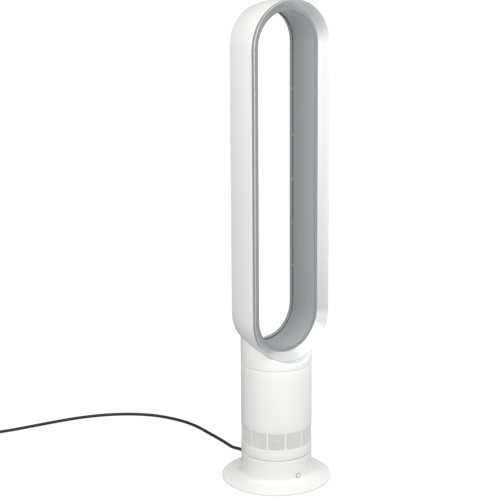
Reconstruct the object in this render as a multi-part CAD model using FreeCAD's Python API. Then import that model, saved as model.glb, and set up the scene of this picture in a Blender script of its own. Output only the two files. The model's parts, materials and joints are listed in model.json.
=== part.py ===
import FreeCAD, Part
import math
import os

# Bladeless tower fan, in millimetres. +Z is up, the fan blows towards -Y, and the
# origin is the middle of the foot ring's rest face. The root body is the base; the
# tower above the seam swivels on it about Z.

V = FreeCAD.Vector
Z_AXIS = V(0, 0, 1)

# ---- driving dimensions ----
HEIGHT = 1007.0
BODY_R = 74.0
WALL = 2.5
BODY_BORE = BODY_R - WALL
DISC_R = 115.0
DISC_RIM_TOP = 4.2
DISC_BOTTOM = 1.2
DISC_SKIN = 1.8
FILLET_FOOT_R = 86.0
FILLET_FOOT_Z = 8.4
FILLET_TOP_Z = 19.0
SCREWS = 6
SCREW_CIRCLE = 60.0
SCREW_R = 1.5
POST_R = 3.6
POST_LOW = 12.0
BASE_TOP = 59.0
TOWER_BOTTOM = 60.2
COLLAR_SEAM = 253.6
COLLAR_GAP = 0.5

# ---- air inlet ----
WINDOWS = 12
WINDOW_PITCH = 360.0 / WINDOWS
WINDOW_SPAN = 27.2
STRIP_ANGLE = -82.5
WINDOW_LOW = 83.0
WINDOW_HIGH = 118.0
PANEL_OUTER = 73.3
PANEL_INNER = 71.9

# ---- loop: u is outward from the loop's middle line, v is forward (-Y) ----
LOOP_HALF = 95.0
LOOP_LOW = 267.0
ARC_LOW = LOOP_LOW + LOOP_HALF
ARC_HIGH = HEIGHT - LOOP_HALF
FRONT_V = 55.0
BAND_V = 47.0
SKIN_MID = (91.3, 2.0)
SKIN_REAR = (80.6, -44.5)
NOSE_MID = (79.13, -46.65)
NOSE_TIP = (76.6, -47.5)
LIP_MID = (71.9, -45.6)
LIP_ROOT = (69.0, -42.0)
LIP_TIP = (68.2, -34.5)
LIP_BACK = (69.2, -34.5)
FOIL_REAR = (70.9, -35.0)
FOIL_MID = (69.3, 0.0)
FOIL_FRONT = (71.5, 36.0)
LEDGE = (77.9, 38.1)
FLARE_EDGE = (94.2, FRONT_V)
PARTING_Z = 320.0
PARTING_GAP = 0.3
SPACER_Z = (440.0, 533.0, 625.5, 718.0, 814.0)
DUCT_R = 36.0
DUCT_WALL = 2.0

# ---- swivel drive ----
MODULE = 1.5
RING_TEETH = 56
PINION_TEETH = 14
BACKLASH = 0.3
PINION_X = MODULE * (RING_TEETH - PINION_TEETH) / 2.0
DECK_LOW = 43.0
DECK_TOP = 46.0
BALL_COUNT = 12
BALL_R = 3.0
BALL_CIRCLE = 56.0
BALL_Z = 52.3
BALL_GAP = 0.08
SPINDLE_R = 12.0
SPINDLE_BORE = 8.0
SHAFT_CLEARANCE = 0.06

# ---- button ----
BUTTON_Z = 22.5
BUTTON_R = 4.15
BEZEL_R = 5.7
BUTTON_FACE = 74.6
BUTTON_TRAVEL = 1.2
BOARD_Y = -57.0
BOARD_THICK = 1.6

# ---- air path ----
BUCKET_R = 62.0
FAN_R = 50.0
POD_R = 30.0
MOTOR_R = 23.0
SHAFT_R = 2.5
VANES = 11
BLADES = 9

# ---- power cord ----
CORD_D = 7.0
CORD_FLOOR = 3.6
CORD_EXIT_Z = 16.0
RELIEF_ROOT = 70.9
RELIEF_END = 102.0
COIL_MID = 38.5
COIL_X = -462.5
COIL_Y = 573.0
COIL_OUTER = COIL_MID + CORD_D
COIL_INNER = COIL_MID - CORD_D
COIL_LOW = 1.0
COIL_TOP = COIL_LOW + 2 * CORD_D
TIE_ANGLE = -20.0
TIE_THICK = 0.9
PLUG_X = -499.2
PLUG_Y = 582.2
PLUG_THICK = 17.0
PLUG_ANGLE = -85.0

# Where the cord lies, from the strain relief to the coil, chosen by hand.
CORD_ROUTE = [
    (0, RELIEF_END, CORD_EXIT_Z),
    (0, 127, CORD_EXIT_Z),
    (4, 151, 9.6),
    (9, 174, 4.2),
    (13, 201, CORD_FLOOR),
    (15.5, 232, CORD_FLOOR),
    (16.5, 265, CORD_FLOOR),
    (18.5, 299, CORD_FLOOR),
    (18.5, 333, CORD_FLOOR),
    (12, 369, CORD_FLOOR),
    (0, 404, CORD_FLOOR),
    (-19, 440, CORD_FLOOR),
    (-49, 474, CORD_FLOOR),
    (-88, 503, CORD_FLOOR),
    (-134, 525, CORD_FLOOR),
    (-184, 540, CORD_FLOOR),
    (-236, 549, CORD_FLOOR),
    (-288, 556, CORD_FLOOR),
    (-340, 564, CORD_FLOOR),
    (-388, 578, CORD_FLOOR),
    (-431, 602, CORD_FLOOR + 0.6),
]


# ---- helpers ----
def cyl(r, z0, z1, x=0.0, y=0.0):
    return Part.makeCylinder(r, z1 - z0, V(x, y, z0), Z_AXIS)


def tube(outer, inner, z0, z1, x=0.0, y=0.0):
    return cyl(outer, z0, z1, x, y).cut(cyl(inner, z0 - 1, z1 + 1, x, y))


def block(x0, x1, y0, y1, z0, z1):
    return Part.makeBox(x1 - x0, y1 - y0, z1 - z0, V(x0, y0, z0))


def turned(solid, degrees):
    copy = solid.copy()
    copy.rotate(V(0, 0, 0), Z_AXIS, degrees)
    return copy


def ring_of(solid, count, start=0.0):
    return [turned(solid, start + 360.0 * i / count) for i in range(count)]


def group(solids):
    return Part.makeCompound(solids)


def outline(steps, place):
    """A face whose edges join the steps: a point is a line's end, and a pair of
    points is an arc through the first that ends at the second."""
    start = place(steps[0])
    here = start
    edges = []
    for step in steps[1:] + [steps[0]]:
        if isinstance(step[0], tuple):
            through, end = place(step[0]), place(step[1])
            edges.append(Part.Arc(here, through, end).toShape())
        else:
            end = place(step)
            edges.append(Part.LineSegment(here, end).toShape())
        here = end
    return Part.Face(Part.Wire(edges))


def lathe(steps):
    """A solid of revolution about Z; the steps are (radius, height)."""
    face = outline(steps, lambda p: V(p[0], 0, p[1]))
    return face.revolve(V(0, 0, 0), Z_AXIS, 360)


def loop_parts(steps):
    """A section in (u, v), swept round the loop's stadium path: right limb, left limb,
    low arc and high arc."""
    face = outline(steps, lambda p: V(p[0], -p[1], ARC_LOW))
    limb = face.extrude(V(0, 0, ARC_HIGH - ARC_LOW))
    other = limb.mirror(V(0, 0, 0), V(1, 0, 0))
    low = face.revolve(V(0, 0, ARC_LOW), V(0, 1, 0), 180)
    face.translate(V(0, 0, ARC_HIGH - ARC_LOW))
    high = face.revolve(V(0, 0, ARC_HIGH), V(0, -1, 0), 180)
    return [limb, other, low, high]


def loop_solid(steps):
    """The same sweep as one solid."""
    limb, *others = loop_parts(steps)
    return limb.fuse(others).removeSplitter()


# ---- base ----
def base_shell():
    skin = lathe([
        (BODY_BORE, BASE_TOP), (BODY_R, BASE_TOP), (BODY_R, FILLET_TOP_Z),
        ((76.9, 11.9), (FILLET_FOOT_R, FILLET_FOOT_Z)),
        (DISC_R - 1.5, DISC_RIM_TOP),
        ((DISC_R - 0.3, DISC_RIM_TOP - 0.8), (DISC_R, DISC_RIM_TOP - 1.8)),
        (DISC_R, DISC_BOTTOM), (DISC_R - DISC_SKIN, DISC_BOTTOM),
        (DISC_R - DISC_SKIN, DISC_RIM_TOP - DISC_SKIN), (FILLET_FOOT_R, FILLET_FOOT_Z - DISC_SKIN),
        ((75.3, 10.4), (BODY_BORE, FILLET_TOP_Z)),
    ])
    bezel_bore = Part.makeCylinder(BEZEL_R, 12, V(0, -BODY_R - 4, BUTTON_Z), V(0, 1, 0))
    cord_bore = Part.makeCylinder(6.0, 18, V(0, BODY_BORE - 5, CORD_EXIT_Z), V(0, 1, 0))
    return skin.cut([bezel_bore, cord_bore])


def screw_ring(r, z0, z1):
    """Six upright cylinders where the base's screws go."""
    return ring_of(cyl(r, z0, z1, SCREW_CIRCLE), SCREWS)


def bottom_cover():
    plate = cyl(DISC_R - DISC_SKIN - 0.3, DISC_BOTTOM, DISC_BOTTOM + 1.2)
    return plate.cut(screw_ring(SCREW_R + 0.1, 0, 5))


def ballast_plate():
    low = DISC_BOTTOM + 1.3
    step = low + 1.9
    plate = lathe([(24, low), (88, low), (88, step), (69, step), (69, step + 4.0), (24, step + 4.0)])
    return plate.cut(screw_ring(POST_R + 0.4, 0, 12))


def foot_ring():
    return tube(104.0, 95.0, 0.0, DISC_BOTTOM)


def bottom_screws():
    head = cyl(3.0, DISC_BOTTOM - 1.0, DISC_BOTTOM, SCREW_CIRCLE)
    shank = cyl(SCREW_R, DISC_BOTTOM, POST_LOW, SCREW_CIRCLE)
    return group(ring_of(head.fuse(shank), SCREWS))


def base_deck():
    plate = cyl(BODY_BORE - 0.05, DECK_LOW, DECK_TOP)
    deck = plate.fuse(screw_ring(POST_R, POST_LOW, DECK_LOW))
    shaft_hole = cyl(6.0, DECK_LOW - 1, DECK_TOP + 1, PINION_X)
    wire_hole = cyl(SPINDLE_BORE, DECK_LOW - 1, DECK_TOP + 1)
    return deck.cut([shaft_hole, wire_hole])


def race(z_face, z_back):
    """A bearing race whose groove faces the balls."""
    ring = tube(BALL_CIRCLE + 6, BALL_CIRCLE - 5.5, min(z_face, z_back), max(z_face, z_back))
    groove = Part.makeTorus(BALL_CIRCLE, BALL_R + BALL_GAP, V(0, 0, BALL_Z), Z_AXIS)
    return ring.cut(groove)


def bearing_balls():
    ball = Part.makeSphere(BALL_R, V(BALL_CIRCLE, 0, BALL_Z))
    return group(ring_of(ball, BALL_COUNT))


def ball_cage():
    ring = tube(BALL_CIRCLE + 3.4, BALL_CIRCLE - 3.4, BALL_Z - 0.7, BALL_Z + 0.7)
    pockets = ring_of(Part.makeSphere(BALL_R + 0.02, V(BALL_CIRCLE, 0, BALL_Z)), BALL_COUNT)
    return ring.cut(pockets)


def pivot_spindle():
    flange = cyl(17.0, DECK_TOP, DECK_TOP + 2)
    post = cyl(SPINDLE_R, DECK_TOP, 74.0)
    groove = tube(SPINDLE_R + 1, SPINDLE_R - 1.0, 70.7, 71.9)
    return flange.fuse(post).cut([groove, cyl(SPINDLE_BORE, DECK_TOP - 1, 75)])


def thrust_washer():
    return tube(16.5, SPINDLE_R + 0.03, 69.65, 70.6)


def retaining_clip():
    ring = tube(15.5, SPINDLE_R - 1.0, 70.7, 71.9)
    return ring.cut(block(5, 17, -4, 4, 70, 73))


def oscillation_motor():
    can = cyl(17.5, 19.0, DECK_LOW - 1.0, PINION_X)
    ears = block(PINION_X - 3.5, PINION_X + 3.5, -22, 22, DECK_LOW - 1.0, DECK_LOW)
    boss = cyl(4.5, DECK_LOW - 1.0, DECK_TOP, PINION_X)
    bore = cyl(SHAFT_R + SHAFT_CLEARANCE, 30, DECK_TOP + 1, PINION_X)
    return can.fuse([ears, boss]).cut(bore)


def tooth_outline(teeth, out, phase):
    """Corner points of a gear's straight-sided teeth; out is +1 for a pinion and -1
    for a ring gear, whose teeth point inward."""
    pitch = MODULE * teeth / 2.0
    half = math.pi * MODULE / 4.0 - BACKLASH / 2.0
    slope = math.tan(math.radians(20))
    points = []
    for i in range(teeth):
        middle = 2 * math.pi * i / teeth + phase
        for side, reach in ((-1, -1.15), (-1, 0.85), (1, 0.85), (1, -1.15)):
            r = pitch + out * reach * MODULE
            a = middle + side * (half - slope * reach * MODULE) / pitch
            points.append((r * math.cos(a), r * math.sin(a)))
    return points


def toothed(points, x, z0, z1):
    corners = [V(x + px, py, z0) for px, py in points]
    return Part.Face(Part.makePolygon(corners + corners[:1])).extrude(V(0, 0, z1 - z0))


def oscillation_pinion():
    wheel = toothed(tooth_outline(PINION_TEETH, 1, 0.0), PINION_X, 50.5, 57.5)
    return wheel.cut(cyl(SHAFT_R, 49, 59, PINION_X))


def pinion_shaft():
    return cyl(SHAFT_R, 31.0, 58.5, PINION_X)


def power_button():
    cap = Part.makeCylinder(BUTTON_R, 4.0, V(0, -BUTTON_FACE, BUTTON_Z), V(0, 1, 0))
    collar = Part.makeCylinder(5.2, 1.0, V(0, -BUTTON_FACE + 4.0, BUTTON_Z), V(0, 1, 0))
    stem = Part.makeCylinder(1.5, 5.4, V(0, -BUTTON_FACE + 5.0, BUTTON_Z), V(0, 1, 0))
    return cap.fuse([collar, stem])


def button_ring():
    ring = Part.makeCylinder(BEZEL_R, 3.7, V(0, -BUTTON_FACE + 0.15, BUTTON_Z), V(0, 1, 0))
    bore = Part.makeCylinder(BUTTON_R + 0.1, 8, V(0, -BUTTON_FACE - 1, BUTTON_Z), V(0, 1, 0))
    return ring.cut(bore)


def button_spring():
    y = -BUTTON_FACE + 5.0
    length = BOARD_Y - BOARD_THICK - 2.6 - y
    outer = Part.makeCylinder(2.9, length, V(0, y, BUTTON_Z), V(0, 1, 0))
    inner = Part.makeCylinder(2.2, length + 2, V(0, y - 1, BUTTON_Z), V(0, 1, 0))
    return outer.cut(inner)


def tact_switch():
    y = BOARD_Y - BOARD_THICK
    return block(-3.2, 3.2, y - 2.6, y, BUTTON_Z - 3.2, BUTTON_Z + 3.2)


def control_board():
    return block(-24, 24, BOARD_Y - BOARD_THICK, BOARD_Y, 11, 38)


def infrared_receiver():
    y = BOARD_Y - BOARD_THICK
    return block(12, 19, y - 4.5, y, 28, 35)


def power_board():
    board = block(-40, 10, 20, 54, 11.5, 13.1)
    converter = block(-38, -16, 24, 44, 13.1, 31)
    reservoir = cyl(6.5, 13.1, 34, -4, 36)
    return board.fuse([converter, reservoir]).cut(screw_ring(POST_R + 0.4, 9, 44))


# ---- tower: swivel plate and outer shell ----
def turntable():
    plate = cyl(BODY_BORE - 0.05, TOWER_BOTTOM, TOWER_BOTTOM + 3)
    hub = cyl(17.0, TOWER_BOTTOM, 69.6)
    posts = ring_of(cyl(3.2, TOWER_BOTTOM, 76.0, 50), 4, 45)
    return plate.fuse([hub] + posts).cut(cyl(SPINDLE_R + SHAFT_CLEARANCE, 50, 80))


def ring_gear():
    rim = cyl(47.5, 49.8, TOWER_BOTTOM)
    spaces = tooth_outline(RING_TEETH, -1, math.pi / RING_TEETH)
    return rim.cut(toothed(spaces, 0.0, 49.0, TOWER_BOTTOM + 1))


def window_cutter(inner, outer, span, low, high):
    """A block of the ring between two radii, middle on +X."""
    face = outline([(inner, low), (outer, low), (outer, high), (inner, high)], lambda p: V(p[0], 0, p[1]))
    face.rotate(V(0, 0, 0), Z_AXIS, -span / 2.0)
    return face.revolve(V(0, 0, 0), Z_AXIS, span)


def window_start():
    """Angle of the first window's middle from +X, with the strips at STRIP_ANGLE."""
    return STRIP_ANGLE + WINDOW_PITCH / 2.0 - 90.0


def body_shell():
    shell = tube(BODY_R, BODY_BORE, TOWER_BOTTOM, COLLAR_SEAM)
    cutter = window_cutter(BODY_BORE - 2, BODY_R + 2, WINDOW_SPAN, WINDOW_LOW, WINDOW_HIGH)
    return shell.cut(ring_of(cutter, WINDOWS, window_start()))


def inlet_grille():
    panel = window_cutter(PANEL_INNER, PANEL_OUTER, WINDOW_SPAN, WINDOW_LOW, WINDOW_HIGH)
    return group(ring_of(panel, WINDOWS, window_start()))


def driver_board():
    return tube(56.0, 22.0, 76.0, 77.6)


# ---- air path inside the tower ----
def rubber_mount():
    return tube(BODY_BORE - 0.05, BUCKET_R, 118.0, 123.0)


def inlet_cone():
    return lathe([
        (BUCKET_R + 3, 116.0), (BUCKET_R + 3, 118.0), (59.4, 118.0),
        ((53.6, 122.8), (FAN_R + 1.0, 132.0)), (FAN_R - 0.8, 132.0), ((52.0, 121.4), (58.0, 116.0)),
    ])


def motor_bucket():
    return lathe([
        (BUCKET_R - 2, 118.2), (BUCKET_R, 118.2), (BUCKET_R, 200.0),
        ((55.0, 214.0), (DUCT_R + 4, 221.0)), (DUCT_R + 4, 226.0), (DUCT_R + 2, 226.0),
        (DUCT_R + 2, 220.0), ((53.6, 212.6), (BUCKET_R - 2, 200.0)),
    ])


def silencer_foam():
    return tube(BODY_BORE - 0.4, BUCKET_R + 0.4, 126.0, 198.0)


def impeller():
    hub = lathe([
        (SHAFT_R, 128.0), (12.0, 128.0), ((19.5, 138.0), (30.0, 158.0)), (30.0, 161.0), (SHAFT_R, 161.0),
    ])
    blade = block(8.0, 60.0, -0.8, 0.8, -20.0, 20.0)
    blade.rotate(V(0, 0, 0), V(1, 0, 0), 38)
    blade.translate(V(0, 0, 145.0))
    room = lathe([(9.0, 134.0), (FAN_R - 2, 134.0), (FAN_R - 2, 150.0), (FAN_R + 6, 160.0), (24.0, 160.0)])
    bore = cyl(SHAFT_R, 120, 170)
    return hub.fuse(ring_of(blade.common(room), BLADES)).cut(bore)


def motor_shaft():
    return cyl(SHAFT_R, 126.5, 170.0)


def fan_motor():
    can = cyl(MOTOR_R, 166.0, 200.0)
    return can.cut(cyl(SHAFT_R + SHAFT_CLEARANCE, 165.0, 171.0))


def motor_pod():
    return lathe([
        (SHAFT_R + 1.5, 162.5), (POD_R, 162.5), (POD_R, 196.0), ((24.0, 210.0), (8.0, 218.0)),
        (0.0, 218.0), (0.0, 216.0), (7.4, 216.0), ((22.4, 208.6), (POD_R - 2, 196.0)),
        (POD_R - 2, 164.5), (SHAFT_R + 1.5, 164.5),
    ])


def motor_sleeve():
    return tube(POD_R - 2, MOTOR_R, 168.0, 195.0)


def diffuser_vanes():
    vane = block(POD_R, BUCKET_R - 2, -0.8, 0.8, 168.0, 196.0)
    limits = tube(BUCKET_R - 2, POD_R, 160.0, 200.0)
    return group(ring_of(vane.common(limits), VANES))


def duct_seal():
    return tube(DUCT_R + 6, DUCT_R + 4, 221.4, 229.0)


def air_duct():
    return tube(DUCT_R + 2, DUCT_R, 226.0, LOOP_LOW - 2.0)


# ---- loop ----
def loop_space():
    """The room that the loop takes in the neck: its skin turned about the low arc's
    middle, carried on forward and back past the neck."""
    skin = outline([
        (0.0, 90.0), (LOOP_HALF, 90.0), (LOOP_HALF, BAND_V), (SKIN_MID, SKIN_REAR),
        (SKIN_REAR[0], -90.0), (0.0, -90.0),
    ], lambda p: V(p[0], -p[1], ARC_LOW))
    return skin.revolve(V(0, 0, ARC_LOW), V(0, 1, 0), 360)


def neck_housing():
    low = COLLAR_SEAM + COLLAR_GAP
    solid = cyl(BODY_R, low, ARC_LOW - 30).cut(loop_space())
    inner = cyl(BODY_BORE, low - 1, ARC_LOW - 30)
    roof = loop_space()
    roof.translate(V(0, 0, -WALL))
    hollow = inner.cut(roof)
    return solid.cut([hollow, cyl(DUCT_R + 2, low, ARC_LOW)] + screw_shanks())


def outer_skin():
    """The white shell, from the bezel round to the rear edge."""
    return loop_solid([
        (LOOP_HALF, BAND_V), (SKIN_MID, SKIN_REAR), (NOSE_MID, NOSE_TIP), (NOSE_TIP[0], NOSE_TIP[1] + WALL),
        ((NOSE_MID[0] - 1.5, NOSE_MID[1] + 2.0), (SKIN_REAR[0] - WALL + 0.1, SKIN_REAR[1] + 0.7)),
        ((SKIN_MID[0] - WALL, SKIN_MID[1]), (LOOP_HALF - WALL, BAND_V)),
    ])


def lip_parts():
    """The grey rear edge that carries the white shell on inward to the slot, in limbs and arcs."""
    return loop_parts([
        NOSE_TIP, (LIP_MID, LIP_ROOT), LIP_TIP, LIP_BACK, (LIP_ROOT[0] + 1.2, LIP_ROOT[1] + 1.4),
        ((LIP_MID[0] + 1.1, LIP_MID[1] + 1.9), (NOSE_TIP[0], NOSE_TIP[1] + WALL)),
    ])


def loop_upper_shell(skin):
    return skin.common(block(-120, 120, -80, 80, PARTING_Z + PARTING_GAP / 2, HEIGHT + 10))


def loop_lower_shell(skin):
    low = skin.common(block(-120, 120, -80, 80, 200, PARTING_Z - PARTING_GAP / 2))
    return low.cut([cyl(DUCT_R, LOOP_LOW - 18.0, LOOP_LOW + 27.0)] + screw_shanks())


def airfoil_parts():
    """The grey inner wall, moulded as two limbs and two arcs that meet end to end."""
    return loop_parts([
        FOIL_REAR, (FOIL_MID, FOIL_FRONT), LEDGE, (LEDGE[0], LEDGE[1] - 2.2),
        (FOIL_FRONT[0] + 2.4, FOIL_FRONT[1] - 2.6),
        ((FOIL_MID[0] + 2.4, FOIL_MID[1]), (FOIL_REAR[0] + 2.4, FOIL_REAR[1])),
        ((FOIL_REAR[0] + 2.2, FOIL_REAR[1] - 2.6), (FOIL_REAR[0] + 1.0, FOIL_REAR[1] - 2.4)),
    ])


def front_bezel():
    return loop_solid([
        LEDGE, FLARE_EDGE, (LOOP_HALF, FRONT_V), (LOOP_HALF, BAND_V), (LOOP_HALF - WALL, BAND_V),
        (LOOP_HALF - WALL, FRONT_V - 4.2), (LEDGE[0], LEDGE[1] - 2.2),
    ])


def slot_spacers():
    spacers = []
    for z in SPACER_Z:
        for side in (-1, 1):
            near, far = sorted((side * (LIP_BACK[0] + 0.02), side * (FOIL_REAR[0] + 0.02)))
            spacers.append(block(near, far, 34.5, 36.5, z - 2.5, z + 2.5))
    return group(spacers)


def screw_shanks():
    """Where the four screws that hold the loop on the neck pass through both."""
    return [cyl(2.0, LOOP_LOW + 4.0, LOOP_LOW + 28.0, x, y) for x in (-46.0, 46.0) for y in (-26.0, 26.0)]


def loop_screws():
    return group(screw_shanks())


# ---- power cord ----
def smooth_path(route):
    """Straight runs joined by tangent arcs, as large as each corner's runs allow."""
    points = [V(*p) for p in route]
    edges = []
    here = points[0]
    for before, corner, after in zip(points, points[1:], points[2:]):
        back = (before - corner).normalize()
        on = (after - corner).normalize()
        turn = math.pi - back.getAngle(on)
        reach = 0.45 * min((before - corner).Length, (after - corner).Length)
        radius = reach / math.tan(turn / 2)
        print("bend %.0f degrees, radius %.0f mm" % (math.degrees(turn), radius))
        start = corner + back * reach
        end = corner + on * reach
        inward = (back + on).normalize()
        middle = corner + inward * (radius / math.cos(turn / 2) - radius)
        edges.append(Part.LineSegment(here, start).toShape())
        edges.append(Part.Arc(start, middle, end).toShape())
        here = end
    edges.append(Part.LineSegment(here, points[-1]).toShape())
    return Part.Wire(edges)


def cord_tube(route):
    path = smooth_path(route)
    start = V(*route[0])
    section = Part.Wire(Part.makeCircle(CORD_D / 2.0, start, V(*route[1]) - start))
    solid = path.makePipeShell([section], True, False)
    print("cord volume %.1f, section x length %.1f" % (solid.Volume, math.pi * CORD_D ** 2 / 4 * path.Length))
    return solid


def strain_relief():
    y = V(0, 1, 0)
    flange = Part.makeCylinder(7.4, 2.0, V(0, RELIEF_ROOT - 2, CORD_EXIT_Z), y)
    root = Part.makeCylinder(6.0, 6.0, V(0, RELIEF_ROOT, CORD_EXIT_Z), y)
    taper = Part.makeCone(6.0, 4.2, RELIEF_END - RELIEF_ROOT - 6, V(0, RELIEF_ROOT + 6, CORD_EXIT_Z), y)
    return flange.fuse([root, taper])


def cord_coil():
    """The outer shape of the put-away turns."""
    return tube(COIL_OUTER, COIL_INNER, COIL_LOW, COIL_TOP, COIL_X, COIL_Y)


def cord_tie():
    """A flat band round the coil's bundle of turns."""
    band = block(
        COIL_INNER - TIE_THICK, COIL_OUTER + TIE_THICK, -5, 5, COIL_LOW - TIE_THICK, COIL_TOP + TIE_THICK
    )
    band.rotate(V(0, 0, 0), Z_AXIS, TIE_ANGLE)
    band.translate(V(COIL_X, COIL_Y, 0))
    return band.cut(cord_coil())


def along_plug(solid):
    """Moves a solid made along +X from the cord's end of the plug into place."""
    solid.rotate(V(0, 0, 0), Z_AXIS, PLUG_ANGLE)
    solid.translate(V(PLUG_X, PLUG_Y, COIL_TOP + PLUG_THICK / 2))
    return solid


def plug_body():
    relief = Part.makeCone(4.6, 6.5, 16, V(0, 0, 0), V(1, 0, 0))
    grip = block(16, 40, -12, 12, -PLUG_THICK / 2, PLUG_THICK / 2)
    grip = grip.makeFillet(3.0, grip.Edges)
    return along_plug(relief.fuse(grip))


def plug_pins():
    pins = []
    for y in (-6.35, 6.35):
        pins.append(block(40, 56, y - 0.75, y + 0.75, -3.2, 3.2))
    return along_plug(group(pins))


PIECES = {
    "base_shell": base_shell,
    "bottom_cover": bottom_cover,
    "ballast_plate": ballast_plate,
    "foot_ring": foot_ring,
    "bottom_screws": bottom_screws,
    "base_deck": base_deck,
    "bearing_balls": bearing_balls,
    "ball_cage": ball_cage,
    "pivot_spindle": pivot_spindle,
    "thrust_washer": thrust_washer,
    "retaining_clip": retaining_clip,
    "oscillation_motor": oscillation_motor,
    "oscillation_pinion": oscillation_pinion,
    "pinion_shaft": pinion_shaft,
    "power_button": power_button,
    "button_ring": button_ring,
    "button_spring": button_spring,
    "tact_switch": tact_switch,
    "control_board": control_board,
    "infrared_receiver": infrared_receiver,
    "power_board": power_board,
    "turntable": turntable,
    "ring_gear": ring_gear,
    "body_shell": body_shell,
    "inlet_grille": inlet_grille,
    "driver_board": driver_board,
    "rubber_mount": rubber_mount,
    "inlet_cone": inlet_cone,
    "motor_bucket": motor_bucket,
    "silencer_foam": silencer_foam,
    "impeller": impeller,
    "motor_shaft": motor_shaft,
    "fan_motor": fan_motor,
    "motor_pod": motor_pod,
    "motor_sleeve": motor_sleeve,
    "diffuser_vanes": diffuser_vanes,
    "duct_seal": duct_seal,
    "air_duct": air_duct,
    "neck_housing": neck_housing,
    "front_bezel": front_bezel,
    "slot_spacers": slot_spacers,
    "loop_screws": loop_screws,
    "strain_relief": strain_relief,
    "cord_coil": cord_coil,
    "cord_tie": cord_tie,
    "plug_body": plug_body,
    "plug_pins": plug_pins,
}

os.makedirs("parts", exist_ok=True)
made = {name: make() for name, make in PIECES.items()}
skin = outer_skin()
made["loop_upper_shell"] = loop_upper_shell(skin)
made["loop_lower_shell"] = loop_lower_shell(skin)
sides = ("right", "left", "bottom", "top")
for side, wall, lip in zip(sides, airfoil_parts(), lip_parts()):
    made["airfoil_" + side] = wall
    made["slot_lip_" + side] = lip
made["lower_race"] = race(DECK_TOP + 4.9, DECK_TOP)
made["upper_race"] = race(BALL_Z + 1.4, TOWER_BOTTOM)
made["power_cord"] = cord_tube(CORD_ROUTE)
for name, shape in made.items():
    print("%-20s solids %d valid %s volume %.0f" % (name, len(shape.Solids), shape.isValid(), shape.Volume))
    shape.exportStep("parts/%s.step" % name)
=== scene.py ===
import json
import math

import bmesh
import bpy
from mathutils import Matrix, Vector


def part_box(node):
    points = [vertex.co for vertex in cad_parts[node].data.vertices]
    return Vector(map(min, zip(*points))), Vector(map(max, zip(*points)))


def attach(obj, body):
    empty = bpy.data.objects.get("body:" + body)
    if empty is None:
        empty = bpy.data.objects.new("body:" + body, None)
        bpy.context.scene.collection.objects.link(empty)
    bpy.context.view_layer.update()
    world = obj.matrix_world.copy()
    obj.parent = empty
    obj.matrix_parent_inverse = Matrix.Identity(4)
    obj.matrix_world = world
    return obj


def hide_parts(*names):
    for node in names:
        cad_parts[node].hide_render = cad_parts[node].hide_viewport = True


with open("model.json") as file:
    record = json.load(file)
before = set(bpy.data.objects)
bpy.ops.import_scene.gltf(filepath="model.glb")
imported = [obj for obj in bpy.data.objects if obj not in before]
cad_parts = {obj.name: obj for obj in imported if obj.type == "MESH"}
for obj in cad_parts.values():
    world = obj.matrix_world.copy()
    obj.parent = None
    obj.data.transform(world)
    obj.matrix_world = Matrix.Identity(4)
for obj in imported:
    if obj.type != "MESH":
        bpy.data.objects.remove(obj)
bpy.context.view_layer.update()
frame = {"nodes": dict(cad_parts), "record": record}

# ---- places, from the frame (metres) ----
DISC_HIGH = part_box("base_shell")[1]
TUBE_LOW, TUBE_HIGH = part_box("body_shell")
NECK_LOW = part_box("neck_housing")[0]
BEZEL_LOW, BEZEL_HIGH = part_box("front_bezel")
SKIN_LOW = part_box("loop_upper_shell")[0]
LOWER_SKIN_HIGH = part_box("loop_lower_shell")[1]
PANEL_LOW, PANEL_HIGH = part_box("inlet_grille")
BUTTON_LOW, BUTTON_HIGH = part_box("power_button")
RING_LOW, RING_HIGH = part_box("button_ring")
RELIEF_LOW, RELIEF_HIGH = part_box("strain_relief")
COIL_LOW, COIL_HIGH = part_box("cord_coil")
SPACER_LOW, SPACER_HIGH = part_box("slot_spacers")

MM = 0.001
BODY_R = TUBE_HIGH.x
WALL = 2.5 * MM
BORE_R = BODY_R - WALL
DISC_R = DISC_HIGH.x
HALF = BEZEL_HIGH.x
ARC_LOW = BEZEL_LOW.z + HALF
ARC_HIGH = BEZEL_HIGH.z - HALF
PARTING_Z = (LOWER_SKIN_HIGH.z + SKIN_LOW.z) / 2
PARTING_GAP = SKIN_LOW.z - LOWER_SKIN_HIGH.z

# ---- camera ----
CAMERA_DISTANCE = 2.956
CAMERA_HEIGHT = 1.2633
CAMERA_AZIMUTH = -0.658
CAMERA_AIM = 0.01778
CAMERA_PITCH = 0.22184
CAMERA_ROLL = -0.00604
CAMERA_LENS = 107.29
CAMERA_SHIFT = -0.10


def add_camera():
    data = bpy.data.cameras.new("Camera")
    data.lens = CAMERA_LENS
    data.sensor_width = 36
    data.shift_y = CAMERA_SHIFT
    data.clip_start = 0.05
    data.clip_end = 100
    camera = bpy.data.objects.new("Camera", data)
    bpy.context.scene.collection.objects.link(camera)
    heading = CAMERA_AZIMUTH + CAMERA_AIM
    level = Vector((-math.sin(heading), math.cos(heading), 0))
    across = Vector((math.cos(heading), math.sin(heading), 0))
    upright = Vector((0, 0, 1))
    ahead = level * math.cos(CAMERA_PITCH) - upright * math.sin(CAMERA_PITCH)
    top = upright * math.cos(CAMERA_PITCH) + level * math.sin(CAMERA_PITCH)
    right = across * math.cos(CAMERA_ROLL) + top * math.sin(CAMERA_ROLL)
    up = top * math.cos(CAMERA_ROLL) - across * math.sin(CAMERA_ROLL)
    place = Matrix((right, up, -ahead)).transposed().to_4x4()
    place.translation = (
        CAMERA_DISTANCE * math.sin(CAMERA_AZIMUTH),
        -CAMERA_DISTANCE * math.cos(CAMERA_AZIMUTH),
        CAMERA_HEIGHT,
    )
    camera.matrix_world = place
    bpy.context.scene.camera = camera


add_camera()

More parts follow.
